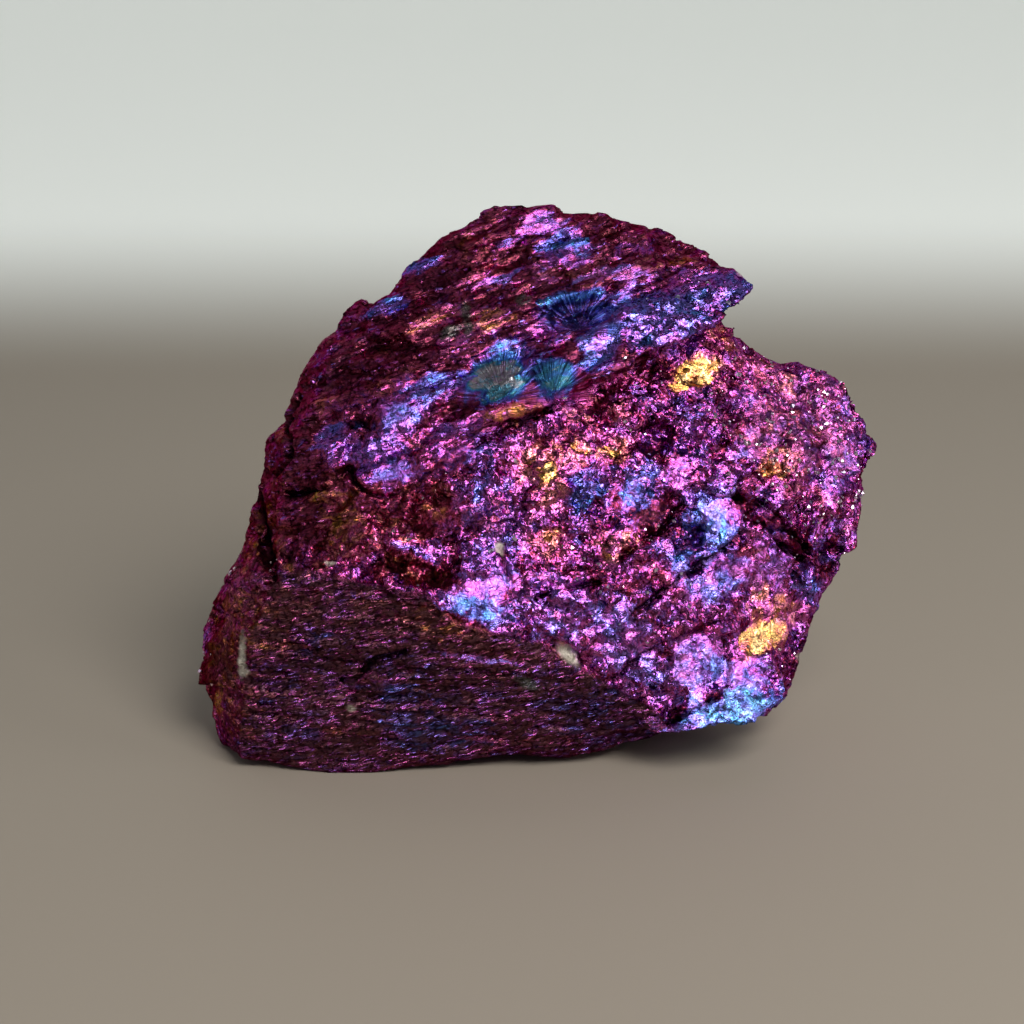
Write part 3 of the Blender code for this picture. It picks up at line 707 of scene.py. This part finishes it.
def oval_shares(skin, ovals, ragged):
    """How far each vertex is inside any of the ovals, which may end in a strength."""
    most = np.zeros(len(skin.right))
    for right, up, length, width, turn, *strength in ovals.values():
        share = skin.share(right, up, length, width, turn, ragged)
        most = np.maximum(most, share * strength[0] if strength else share)
    return most


def chipped(points, kinds, plates, gap):
    """Heights of the broken skin, and the middle, chance and lean of each vertex's own chip."""
    slab, dome, grainy = kinds
    grains = points / MM + 0.5 * bends(points, 1.6, 21)
    ledges = layer_places(points, DOME_DIP, 5) + 0.35 * bends(points, 3, 23)
    sheets = layer_places(points, SLAB_DIP, 12) + 0.12 * bends(points, 2, 24)
    breaks = (
        (Chips(points, grains, 6500, seed=1), grainy, {"slope": 0.20, "jump": 0.14}),
        (Chips(points, ledges, 2600, seed=3), dome, {"slope": 0.05, "jump": 0.22, "shingle": 0.12}),
        (Chips(points, sheets, 3600, seed=4), slab, {"slope": 0.02, "jump": 0.15, "shingle": 0.15}),
    )
    height = grainy * plates.height(points, slope=0.13, jump=0.30) - 0.35 * gap
    middle = np.zeros_like(points)
    chance = np.zeros_like(points)
    lean = grainy[:, None] * plates.lean
    for chips, share, relief in breaks:
        height += share * chips.height(points, **relief)
        middle += share[:, None] * chips.middle
        chance += share[:, None] * chips.chance
        lean += share[:, None] * chips.lean
    return height, middle, chance, lean


def tarnished(skin, of_chip, kinds, hidden, ragged):
    """How thick the tarnish is, how much light and shade are painted on the skin, and how smooth,
    mostly chip by chip.
    """
    slab, dome, _ = kinds
    middling = waves(of_chip.points, 6, 5)
    film = MAGENTA + 0.05 + 0.07 * waves(skin.points, 17, 3) + 0.06 * middling
    light = 0.05 + 0.28 * waves(of_chip.points, 5, 9) - 0.8 * dome
    film -= 0.06 * dome
    film += 0.09 * hidden * waves(of_chip.points, 11, 43)
    light += 0.35 * hidden * waves(of_chip.points, 8, 44)
    # Painted shade: the slab is darkest, and the dome darker toward its left, on top of the ore's
    # own maroon.
    light = light * (1 - slab) - 1.0 * slab - 0.25 * dome * smooth_step(-skin.right, 6, 20)
    of_slab = 0.50 + 0.16 * middling - 0.12 * smooth_step(skin.up, 10, 24)
    film = film * (1 - slab) + of_slab * slab
    smooth = 0.3 * dome
    # Each patch sets its tarnish, and its light, which paints shade or highlight into the colour.
    for name, (right, up, length, width, turn, tint, glow, strength) in PATCHES.items():
        # A fan's edge runs across the chips, and thin patches and the ledge keep their fine relief.
        side = skin if "fan" in name else of_chip
        crisp = width < 2 or "ledge" in name
        share = side.share(right, up, length, width, turn, ragged) * strength
        film += (tint + 0.04 * middling - film) * share
        light += (glow - light) * share
        smooth = np.maximum(smooth, share * (0.1 if crisp else 0.3 + 0.4 * abs(glow)))
    return film, light, smooth


def moved_skin(skin, height, flat, hidden, crack):
    """The skin's vertices, moved out by their heights and onto their flat plates."""
    # The skin moves less where the eye sees it edge on, which keeps the outline. The hidden sides
    # get broad hollows, and the base stays where it is.
    free = 0.35 + 0.65 * smooth_step(skin.facing, 0.1, 0.5) + hidden
    height = (height - 0.15) * free - 0.7 * crack
    height += hidden * (0.7 * waves(skin.points, 13, 41) + 0.35 * waves(skin.points, 5, 42) - 0.7)
    height = np.where(hidden > 0, np.minimum(height, 0.1), height)
    above_base = smooth_step(skin.points[:, 2], *SKIN_FREE)[:, None]
    points = skin.points + (skin.normals * (height * MM)[:, None] + flat) * above_base

    # In depth and height it stays in the solid's own box, with a little slack at the back.
    low, high = np.array(CAD_BOX) + ((0, 0, 0), (0, BACK_SLACK, 0))
    points[:, 1:] = np.clip(points[:, 1:], low[1:], high[1:])
    return points


def paint(mesh):
    """Breaks the skin into chips and plates, and stores what its colours need at each vertex."""
    skin = Skin(mesh)
    points = skin.points
    display = smooth_step(skin.facing, -0.35, 0.1)
    hidden = smooth_step(-skin.facing, 0.25, 0.6)
    kinds = slab, dome, grainy = kinds_of_break(skin, display)
    plates = Chips(points, points / MM + 0.9 * bends(points, 3.0, 22), 900, seed=2)
    crack = crack_shares(skin, display)
    # Gaps along the plates' edges and the cracks: sunk into the skin, and painted black as shade.
    gap = (1 - smooth_step(plates.edge, 0.02, 0.10)) * smooth_step(waves(points, 5, 8), -0.1, 0.3)
    gap = np.maximum(gap * grainy, crack)
    height, middle, chance, lean = chipped(points, kinds, plates, gap)

    # Colours change mostly from chip to chip, so they are asked for near each chip's middle.
    of_chip = skin.asked_at(0.35 * points + 0.65 * middle)
    ragged = 0.35 * waves(points, 2.2, 11)
    film, light, smooth = tarnished(skin, of_chip, kinds, hidden, ragged)
    flat = np.zeros((len(points), 3))
    for right, up, length, width, turn, glow in PLATES.values():
        share = skin.share(right, up, length, width, turn, 0.4 * ragged)
        share *= smooth_step(skin.facing, 0.25, 0.6)
        flat += flatten(skin, share, glow)
        smooth = np.maximum(smooth, share)
        height *= 1 - 0.8 * share
    film += 0.05 * chance[:, 1] + 0.04 * plates.chance[:, 1] * grainy
    light += (0.2 + 0.25 * grainy) * chance[:, 2] + 0.32 * plates.chance[:, 2] * grainy
    dust = np.maximum(0.5 * slab, oval_shares(of_chip, DUST, ragged))
    pale = oval_shares(skin, PALE_CHIPS, ragged)
    grey = oval_shares(skin, GREY, ragged)
    fan, fan_turn = fan_shares(skin, display)
    smooth = np.maximum(smooth, 0.9 * fan)
    points = moved_skin(skin, height, flat, hidden, crack)
    mesh.vertices.foreach_set("co", points.astype(np.float32).ravel())
    sparkling = 0.06 + 0.94 * skin.share(38, 46, 24, 30, 60)
    grain = grainy * (0.03 + 0.97 * display * sparkling) * (1 - 0.7 * smooth)
    grain *= smooth_step(points[:, 2], *GRAINS_FROM)
    for name, values in {
        "film": film, "light": light, "pale": pale, "grey": grey, "slab": slab, "dome": dome,
        "smooth": smooth, "fan": fan, "fan_turn": fan_turn, "display": display, "gap": gap,
        "lean": lean, "dust": dust, "grain": grain,
    }.items():
        store(mesh, name, values)


def start_tree(name, inputs):
    """The wiring and the given sockets of a new geometry node group with these named inputs."""
    tree = bpy.data.node_groups.new(name, "GeometryNodeTree")
    tree.interface.new_socket("Geometry", in_out="INPUT", socket_type="NodeSocketGeometry")
    for label, value in inputs.items():
        socket = tree.interface.new_socket(label, in_out="INPUT", socket_type="NodeSocketFloat")
        socket.default_value = value
    tree.interface.new_socket("Geometry", in_out="OUTPUT", socket_type="NodeSocketGeometry")
    w = Wiring(tree)
    return w, w.add("NodeGroupInput").outputs


def stored(w, name):
    """The number that each vertex has under this name."""
    return w.add("GeometryNodeInputNamedAttribute", {"Name": name}, data_type="FLOAT").outputs[0]


def laid(w, place, dip):
    """Place turned into the layers' own axes: along them, across them, and in depth."""
    up = w.vector("DOT_PRODUCT", place, tuple(UP_AXIS))
    right = w.vector("DOT_PRODUCT", place, tuple(RIGHT_AXIS))
    toward = w.vector("DOT_PRODUCT", place, tuple(TOWARD_AXIS))
    cos, sin = w.math("COSINE", dip), w.math("SINE", dip)
    along = w.plus(w.times(right, cos), w.times(up, sin))
    across = w.minus(w.times(up, cos), w.times(right, sin))
    return along, w.line(toward, 0.3, across), toward


def layers(w, place, dip, step, stretch):
    """Height from about -1 to 1 of thin ragged layers, all in millimetres."""
    along, across, toward = laid(w, place, dip)
    across = w.line(w.swing(place, 0.12, 3.0), 7.0, across)
    share = w.math("FRACT", w.math("DIVIDE", across, step))
    ledge = w.math("MINIMUM", share, w.times(w.rest(share), 3.0))
    drawn = w.add("ShaderNodeCombineXYZ", {
        0: w.math("DIVIDE", along, stretch), 1: across, 2: w.math("DIVIDE", toward, stretch),
    }).outputs[0]
    strength = w.between(w.noise(drawn, 0.22, 1.0), 0.35, 0.65)
    height = w.times(w.minus(ledge, 0.35), strength)
    return w.line(w.swing(drawn, 0.9, 3.0, 0.6), 1.6, height)


def relief_tree(shape):
    """Geometry nodes that press fine layers and grit into the stone's skin."""
    w, given = start_tree("ore_relief", {
        "Ledge Step": shape.ledge_step / MM, "Ledge Height": shape.ledge_height / MM,
        "Ledge Dip": shape.ledge_dip, "Sheet Step": shape.sheet_step / MM,
        "Sheet Height": shape.sheet_height / MM, "Sheet Dip": shape.sheet_dip,
        "Grit Height": shape.grit_height / MM,
    })
    place = w.scaled(w.add("GeometryNodeInputPosition").outputs[0], 1 / MM)
    ledges = layers(w, place, given["Ledge Dip"], given["Ledge Step"], 4.0)
    sheets = layers(w, place, given["Sheet Dip"], given["Sheet Step"], 7.0)
    calm = w.rest(stored(w, "smooth"), 0.7)
    ledges = w.times(w.times(ledges, given["Ledge Height"]), calm)
    sheets = w.times(sheets, given["Sheet Height"])
    height = w.times(w.times(w.swing(place, 1.1, 2.0, 0.6), given["Grit Height"]), calm)
    height = w.line(ledges, stored(w, "dome"), height)
    height = w.line(sheets, stored(w, "slab"), height)
    offset = w.scaled(w.add("GeometryNodeInputNormal").outputs[0], w.times(height, MM))
    off_floor = w.math("GREATER_THAN", w.vector("DOT_PRODUCT", place, (0, 0, 1)), 0.6)
    moved = w.add("GeometryNodeSetPosition", {
        "Geometry": given["Geometry"], "Selection": off_floor, "Offset": offset,
    })
    w.add("NodeGroupOutput", {"Geometry": moved.outputs[0]})
    return w.tree


def add_object(name, data):
    """Puts a new object with this data in the scene."""
    made = bpy.data.objects.new(name, data)
    bpy.context.scene.collection.objects.link(made)
    return made


def apply_modifiers(piece):
    """Replaces the piece's mesh with what its modifiers make of it."""
    graph = bpy.context.evaluated_depsgraph_get()
    made = bpy.data.meshes.new_from_object(piece.evaluated_get(graph))
    piece.modifiers.clear()
    piece.data = made


def apply_nodes(piece, tree):
    """Replaces the piece's mesh with what this geometry node group makes of it."""
    piece.modifiers.new(tree.name, "NODES").node_group = tree
    apply_modifiers(piece)


def merged_copy(node, name):
    """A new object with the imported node's shape, its loose triangles joined."""
    bm = bmesh.new()
    bm.from_mesh(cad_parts[node].data)
    bmesh.ops.remove_doubles(bm, verts=bm.verts, dist=1e-6)
    mesh = bpy.data.meshes.new(name)
    bm.to_mesh(mesh)
    bm.free()
    return add_object(name, mesh)


def new_material(name):
    """A new material, the wiring of its nodes, and its shader."""
    material = bpy.data.materials.new(name)
    material.use_nodes = True
    return material, Wiring(material.node_tree), material.node_tree.nodes["Principled BSDF"]


def tarnish_colour(w, film):
    """The colour of tarnish this thick."""
    ramp = w.add("ShaderNodeValToRGB", {0: film})
    stops = ramp.color_ramp.elements
    for stop, (position, colour) in zip(stops, (TARNISH[0], TARNISH[-1])):
        stop.position, stop.color = position, (*colour, 1)
    for position, colour in TARNISH[1:-1]:
        stops.new(position).color = (*colour, 1)
    return ramp.outputs[0]


def fan_rays(w, fan):
    """Rays of the fans from -0.5 to 0.5, by the turn round the point that each spreads from."""
    turn = w.times(w.painted("fan_turn"), 9.0)
    ray_place = w.add("ShaderNodeCombineXYZ", {0: turn}).outputs[0]
    rays = w.between(w.noise(ray_place, 1.0, 3.0, 0.6), 0.36, 0.64, -0.5, 0.5)
    return w.times(rays, fan)


def maroon_and_shade_colour(w, film, colour, slab, dome):
    """The colour of the dark parts, with painted shade: maroon brown where the tarnish is near
    magenta, and elsewhere its own colour, dimmed.
    """
    maroon_and_shade_tint = w.blend(dome, WINE, DOME_BROWN)
    maroon_and_shade_tint = w.blend(slab, maroon_and_shade_tint, SLAB_BROWN)
    far = w.between(w.math("ABSOLUTE", w.minus(film, MAGENTA)), 0.10, 0.28)
    dim = w.blend(1.0, colour, (0.22, 0.22, 0.22, 1), "MULTIPLY")
    return w.blend(far, maroon_and_shade_tint, dim)


def ore_material():
    """Tarnished ore: facets that shine or not by how they lean, in the painted tarnish, with
    painted shade and highlight on it.
    """
    material, w, shader = new_material(SLOT)
    place = w.place()
    film, light, pale = w.painted("film"), w.painted("light"), w.painted("pale")
    slab, dome, smooth = w.painted("slab"), w.painted("dome"), w.painted("smooth")
    layered = w.math("MAXIMUM", slab, w.times(dome, 0.8))

    # Grains, and long thin flakes that lie along the layers.
    wobble = w.add("ShaderNodeTexNoise", {"Vector": place, "Scale": 0.5, "Detail": 1.0})
    shift = w.vector("SUBTRACT", wobble.outputs[1], (0.5, 0.5, 0.5))
    bent = w.vector("ADD", place, w.scaled(shift, 1.6))
    middle = w.cells(bent, 0.95)
    small = w.cells(bent, 2.2)
    fine = w.cells(bent, 4.6)
    curved = w.vector("ADD", place, w.scaled(shift, 0.8))
    along, across, toward = laid(w, curved, FLAKE_DIP)
    drawn = w.add("ShaderNodeCombineXYZ", {
        0: w.times(along, 0.16), 1: across, 2: w.times(toward, 0.3),
    }).outputs[0]
    drawn = w.scaled(drawn, w.line(slab, 0.6, 1.0))
    slivers = w.cells(drawn, 1.7)
    fibres = w.cells(drawn, 4.2)

    fan = w.painted("fan")
    rays = fan_rays(w, fan)

    # Which way each facet faces: its own chip's lean, then the smaller grains' and flakes'.
    calm = w.times(w.rest(smooth, 0.75), w.rest(fan, 0.6))
    grainy = w.vector("ADD", w.lean(middle, 0.55), w.lean(small, 0.60))
    grainy = w.vector("ADD", grainy, w.lean(fine, 0.5))
    flaky = w.vector("ADD", w.lean(slivers, 0.55), w.lean(fibres, 0.6))
    grainy = w.scaled(grainy, w.times(w.rest(layered), calm))
    flaky = w.scaled(flaky, w.times(w.line(layered, 0.85, 0.15), calm))
    chip = w.scaled(w.painted("lean", "Vector"), w.times(calm, 0.16))
    face = w.vector("ADD", w.add("ShaderNodeNewGeometry").outputs["Normal"], chip)
    face = w.vector("ADD", face, w.vector("ADD", grainy, flaky))
    lift = w.times(w.math("MAXIMUM", w.minus(light, 0.4), 0.0), 1.3)
    lift = w.line(light, 0.55, lift)
    lift = w.line(rays, w.minus(1.1, light), lift)
    spots = w.swing(bent, 0.5, 4.0, 0.65)
    # Glints: sparse flakes in clumps, which lean toward the lamps.
    glint = w.between(w.odd(fibres, 2), 0.34, 0.40)
    on_dome = w.times(dome, w.between(spots, 0.02, 0.10))
    clumps = w.mix(slab, on_dome, w.between(spots, -0.06, 0.06, 0.25, 1.0))
    glint = w.times(glint, clumps)
    lift = w.line(glint, 1.1, lift)
    face = w.vector("ADD", face, w.scaled(BRIGHT_LEAN, lift))
    face = w.vector("NORMALIZE", face)

    # Crinkles on every facet, like those of foil.
    folds = w.math("ABSOLUTE", w.swing(bent, 1.5, 3.0, 0.62))
    grain_bump = w.line(small.outputs["Distance"], -0.03, w.times(folds, 0.25))
    streaks = w.noise(drawn, 3.0, 4.0, 0.65)
    bump = w.times(w.mix(layered, grain_bump, w.times(streaks, 0.4)), w.rest(fan, 0.7))
    bump = w.line(rays, 0.8, bump)
    bumped = w.add("ShaderNodeBump", {
        "Strength": 1.0, "Distance": 0.5 * MM, "Height": bump, "Normal": face,
    })

    # Tarnish: the painted thickness, changed a little from grain to grain.
    wander = w.swing(bent, 0.3, 5.0, 0.7)
    wander = w.line(w.odd(middle, 1), 0.33, wander)
    wander = w.line(w.times(w.odd(slivers, 0), layered), 0.27, wander)
    steady = w.rest(fan, 0.55)
    film = w.line(w.times(wander, 0.45), steady, film)
    film = w.line(w.times(glint, dome), 0.14, film)
    colour = tarnish_colour(w, film)

    # Dark parts are maroon brown, the ore's own colour with painted shade in it, and bright ones
    # wash out toward lilac as a painted highlight.
    odds = w.times(spots, 1.5)
    odds = w.line(w.odd(middle, 2), 0.6, odds)
    odds = w.line(w.times(w.plus(w.odd(small, 1), w.odd(fine, 1)), w.rest(layered)), 1.7, odds)
    flakes = w.times(w.plus(w.odd(slivers, 1), w.odd(fibres, 1)), layered)
    flakes = w.times(flakes, w.between(spots, -0.05, 0.08, 0.6, 2.8))
    odds = w.times(w.plus(odds, flakes), w.rest(smooth, 0.4))
    light = w.line(rays, w.line(light, -1.6, 1.9), light)
    light = w.line(odds, steady, light)
    # Glints paint a highlight into the colour.
    light = w.line(glint, 2.0, light)
    maroon_and_shade = w.between(light, 0.15, -0.85)
    bright = w.between(light, 0.2, 1.4)
    maroon_and_shade_tint = maroon_and_shade_colour(w, film, colour, slab, dome)
    uneven = w.plus(w.odd(fibres, 1), w.odd(slivers, 1))
    uneven = w.mix(layered, w.plus(w.odd(fine, 2), w.odd(small, 2)), uneven)
    uneven = w.between(uneven, -0.8, 0.8, 0.25, 1.9)
    maroon_and_shade_tint = w.blend(1.0, maroon_and_shade_tint, uneven, "MULTIPLY")
    # Painted shade: where the light is low, the colour turns toward the maroon brown and the dimmed
    # tarnish.
    colour = w.blend(w.times(maroon_and_shade, 0.92), colour, maroon_and_shade_tint)
    # Painted highlight: the brightest parts wash out toward lilac.
    colour = w.blend(w.times(bright, 0.10), colour, LILAC_HIGHLIGHT)
    dust = w.times(w.painted("dust"), w.between(spots, -0.1, 0.12, 1.0, 0.35))
    dust = w.times(dust, w.times(w.rest(glint), w.between(uneven, 0.25, 1.9, 1.0, 0.5)))
    colour = w.blend(dust, colour, DUST_BROWN)
    # Painted shade: black in the creases of the foil and the streaks, in the grains' corners, and
    # in the gaps and cracks.
    crease_shade = w.mix(layered, w.between(folds, 0.05, 0.0), w.between(streaks, 0.46, 0.36))
    corner = w.between(small.outputs["Distance"], 0.50, 0.80)
    crease_shade = w.times(w.times(w.math("MAXIMUM", crease_shade, corner), 0.85), steady)
    crease_shade = w.math("MAXIMUM", crease_shade, w.times(w.painted("gap"), 0.92))
    colour = w.blend(crease_shade, colour, CREASE_SHADE_BLACK)
    colour = w.blend(w.times(w.painted("grey"), 0.8), colour, GREY_ROCK)
    colour = w.blend(pale, colour, PALE_ROCK)
    w.feed(shader.inputs["Base Color"], colour)
    w.feed(shader.inputs["Metallic"], w.mix(pale, 1.0, 0.0))
    rough = w.between(w.odd(small, 0), -0.5, 0.5, 0.10, 0.24)
    rough = w.line(smooth, 0.16, rough)
    rough = w.line(maroon_and_shade, 0.10, w.line(dust, 0.25, rough))
    w.feed(shader.inputs["Roughness"], w.mix(pale, rough, 0.8))
    w.feed(shader.inputs["Normal"], bumped.outputs[0])
    shader.inputs["Specular Tint"].default_value = (0.45, 0.22, 0.30, 1)
    return material


class ORE_OT_mass(bpy.types.Operator):
    """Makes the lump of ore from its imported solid, with fine layers, chips and colours"""

    bl_idname = "ore.mass"
    bl_label = "Ore Mass"

    def execute(self, context):
        shape = context.scene.ore_shape
        piece = merged_copy(NODE, "ore_mass")
        remesh = piece.modifiers.new("remesh", "REMESH")
        remesh.mode = "VOXEL"
        remesh.voxel_size = shape.voxel
        apply_modifiers(piece)
        paint(piece.data)
        apply_nodes(piece, relief_tree(shape))
        slim(piece, shape.triangles)
        for face in piece.data.polygons:
            face.use_smooth = True
        piece.data.materials.clear()
        piece.data.materials.append(ore_material())
        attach(piece, "root")
        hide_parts(NODE)
        return {"FINISHED"}


def grains_tree(shape, material):
    """Geometry nodes that sow small crystals over the grainy skin, half sunk in it."""
    w, given = start_tree("ore_grains", {
        "Grains per mm2": shape.grain_density, "Smallest": shape.grain_smallest,
        "Largest": shape.grain_largest,
    })
    density = w.times(w.times(given["Grains per mm2"], 1e6), stored(w, "grain"))
    sown = w.add("GeometryNodeDistributePointsOnFaces", {
        "Mesh": given["Geometry"], "Density": density, "Seed": 7,
    })
    crystal = w.add("GeometryNodeMeshIcoSphere", {"Radius": 1.0, "Subdivisions": 1})
    turn = w.add(
        "FunctionNodeRandomValue", {1: (6.28, 6.28, 6.28), "Seed": 1}, data_type="FLOAT_VECTOR"
    )
    stretch = w.add(
        "FunctionNodeRandomValue", {0: (0.55, 0.55, 0.55), "Seed": 2}, data_type="FLOAT_VECTOR"
    )
    chance = w.math("POWER", w.add("FunctionNodeRandomValue", {"Seed": 3}).outputs[1], 2.5)
    size = w.between(chance, 0.0, 1.0, given["Smallest"], given["Largest"])
    placed = w.add("GeometryNodeInstanceOnPoints", {
        "Points": sown.outputs[0], "Instance": crystal.outputs[0],
        "Rotation": turn.outputs[0], "Scale": w.scaled(stretch.outputs[0], size),
    })
    real = w.add("GeometryNodeRealizeInstances", {0: placed.outputs[0]})
    coloured = w.add("GeometryNodeSetMaterial", {0: real.outputs[0], "Material": material})
    w.add("NodeGroupOutput", {"Geometry": coloured.outputs[0]})
    return w.tree


def grain_material():
    """Clean little crystals: one colour each, washed toward white that is partly their own pale
    colour and partly a painted highlight, with no crinkles.
    """
    material, w, shader = new_material("ore_grain")
    film = w.line(w.swing(w.place(), 0.8, 3.0, 0.7), 0.5, w.painted("film"))
    colour = w.blend(0.6, tarnish_colour(w, film), GRAIN_HIGHLIGHT_WHITE)
    w.feed(shader.inputs["Base Color"], colour)
    shader.inputs["Metallic"].default_value = 1.0
    shader.inputs["Roughness"].default_value = 0.18
    return material


def keep_on_floor(piece):
    """Lifts the vertices that reach below the floor onto it."""
    for vertex in piece.data.vertices:
        vertex.co.z = max(vertex.co.z, 0.0)


def slim(piece, triangles):
    """Thins the mesh to this many triangles, first on the sides that the display side hides."""
    count = 2 * len(piece.data.polygons)
    if count <= triangles:
        return
    shown = read(piece.data.attributes["display"].data, "value")[:, 0]
    shown[read(piece.data.vertices, "co", 3)[:, 2] < BASE_TOP] = 0
    group = piece.vertex_groups.new(name="hidden_side")
    for level in range(1, 11):
        picked = np.flatnonzero(np.ceil((1 - shown) * 10) == level)
        if len(picked):
            group.add(picked.tolist(), level / 10, "REPLACE")
    thin = piece.modifiers.new("slim", "DECIMATE")
    thin.ratio = triangles / count
    thin.vertex_group = group.name
    thin.vertex_group_factor = 0.6
    apply_modifiers(piece)
    keep_on_floor(piece)


class ORE_OT_grains(bpy.types.Operator):
    """Sows small bright crystals over the grainy side of the ore mass"""

    bl_idname = "ore.grains"
    bl_label = "Ore Grains"

    def execute(self, context):
        mass = bpy.data.objects["ore_mass"]
        piece = add_object("ore_grains", mass.data.copy())
        piece.data.materials.clear()
        apply_nodes(piece, grains_tree(context.scene.ore_shape, grain_material()))
        keep_on_floor(piece)
        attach(piece, "root")
        return {"FINISHED"}


def area_light(name, place, size, colour, power):
    """A soft rectangular light that looks at the stone's middle."""
    light = bpy.data.lights.new(name, "AREA")
    light.shape = "RECTANGLE"
    light.size, light.size_y = size
    light.energy = power
    light.color = colour
    lamp = add_object(name, light)
    lamp.location = place
    toward = Vector((0, 0, STONE_MIDDLE)) - lamp.location
    lamp.rotation_euler = toward.to_track_quat("-Z", "Y").to_euler()


def make_floor(stage):
    """The floor, which sweeps up into a wall far behind and turns paler on its way there."""
    rows = [(FLOOR_FRONT, 0.0)]
    for turn in np.linspace(0, math.pi / 2, 13):
        back = BEND_AT + SWEEP_RADIUS * math.sin(turn)
        rows.append((back, SWEEP_RADIUS * (1 - math.cos(turn))))
    rows.append((BEND_AT + SWEEP_RADIUS, WALL_TOP))
    mesh = bpy.data.meshes.new("floor")
    bm = bmesh.new()
    sides = (-FLOOR_SIDE, FLOOR_SIDE)
    edges = [[bm.verts.new((x, y, z)) for x in sides] for y, z in rows]
    for near, far in zip(edges, edges[1:]):
        bm.faces.new((near[0], near[1], far[1], far[0])).smooth = True
    bm.to_mesh(mesh)
    bm.free()
    material, w, shader = new_material("floor")
    back = w.vector("DOT_PRODUCT", w.add("ShaderNodeTexCoord").outputs["Object"], (0, 1, 0))
    fade = {0: back, 1: FADE_FROM, 2: FADE_TO}
    far = w.add("ShaderNodeMapRange", fade, interpolation_type="SMOOTHSTEP").outputs[0]
    w.feed(shader.inputs["Base Color"], w.blend(far, (*stage.floor, 1), (*stage.wall, 1)))
    shader.inputs["Emission Color"].default_value = (0.96, 1.0, 0.94, 1)
    w.feed(shader.inputs["Emission Strength"], w.times(far, stage.glow))
    shader.inputs["Roughness"].default_value = 0.7
    mesh.materials.append(material)
    add_object("floor", mesh)


def make_camera():
    """The camera, which stands where the eye does."""
    data = bpy.data.cameras.new("camera")
    data.sensor_width = SENSOR
    data.lens = PIXELS_PER_MM * EYE_DISTANCE * SENSOR / DRAWN_PIXELS
    data.clip_start = 0.01
    camera = add_object("camera", data)
    camera.location = object_place(EYE_RIGHT, EYE_UP, EYE_DISTANCE)
    camera.rotation_euler = (math.pi / 2 - DISPLAY_TILT, 0, 0)
    bpy.context.scene.camera = camera


class ORE_OT_stage(bpy.types.Operator):
    """Makes the pale floor, the soft lights and the camera"""

    bl_idname = "ore.stage"
    bl_label = "Stage"

    def execute(self, context):
        stage = context.scene.ore_stage
        make_floor(stage)
        for name, (place, size, colour) in LIGHTS.items():
            area_light(name, place, size, colour, getattr(stage, name + "_power"))
        world = bpy.data.worlds.new("world")
        world.use_nodes = True
        sky = world.node_tree.nodes["Background"].inputs
        sky[0].default_value = (0.85, 0.9, 1.0, 1)
        sky[1].default_value = stage.sky_power
        context.scene.world = world
        make_camera()
        context.scene.view_settings.view_transform = "Standard"
        return {"FINISHED"}


class ORE_PT_panel(bpy.types.Panel):
    """Lists the steps that make the ore specimen"""

    bl_label = "Peacock Ore"
    bl_idname = "ORE_PT_panel"
    bl_space_type = "VIEW_3D"
    bl_region_type = "UI"
    bl_category = "Ore"

    def draw(self, context):
        for step in (ORE_OT_mass, ORE_OT_grains, ORE_OT_stage):
            self.layout.operator(step.bl_idname)
        for group in (context.scene.ore_shape, context.scene.ore_stage):
            for name in group.bl_rna.properties.keys():
                if name not in ("rna_type", "name"):
                    self.layout.prop(group, name)


CLASSES = (OreShape, OreStage, ORE_OT_mass, ORE_OT_grains, ORE_OT_stage, ORE_PT_panel)


def register():
    for cls in CLASSES:
        bpy.utils.register_class(cls)
    bpy.types.Scene.ore_shape = bpy.props.PointerProperty(type=OreShape)
    bpy.types.Scene.ore_stage = bpy.props.PointerProperty(type=OreStage)


def unregister():
    del bpy.types.Scene.ore_stage
    del bpy.types.Scene.ore_shape
    for cls in reversed(CLASSES):
        bpy.utils.unregister_class(cls)


def main():
    register()
    bpy.ops.ore.mass()
    bpy.ops.ore.grains()
    bpy.ops.ore.stage()


if __name__ == "__main__":
    main()
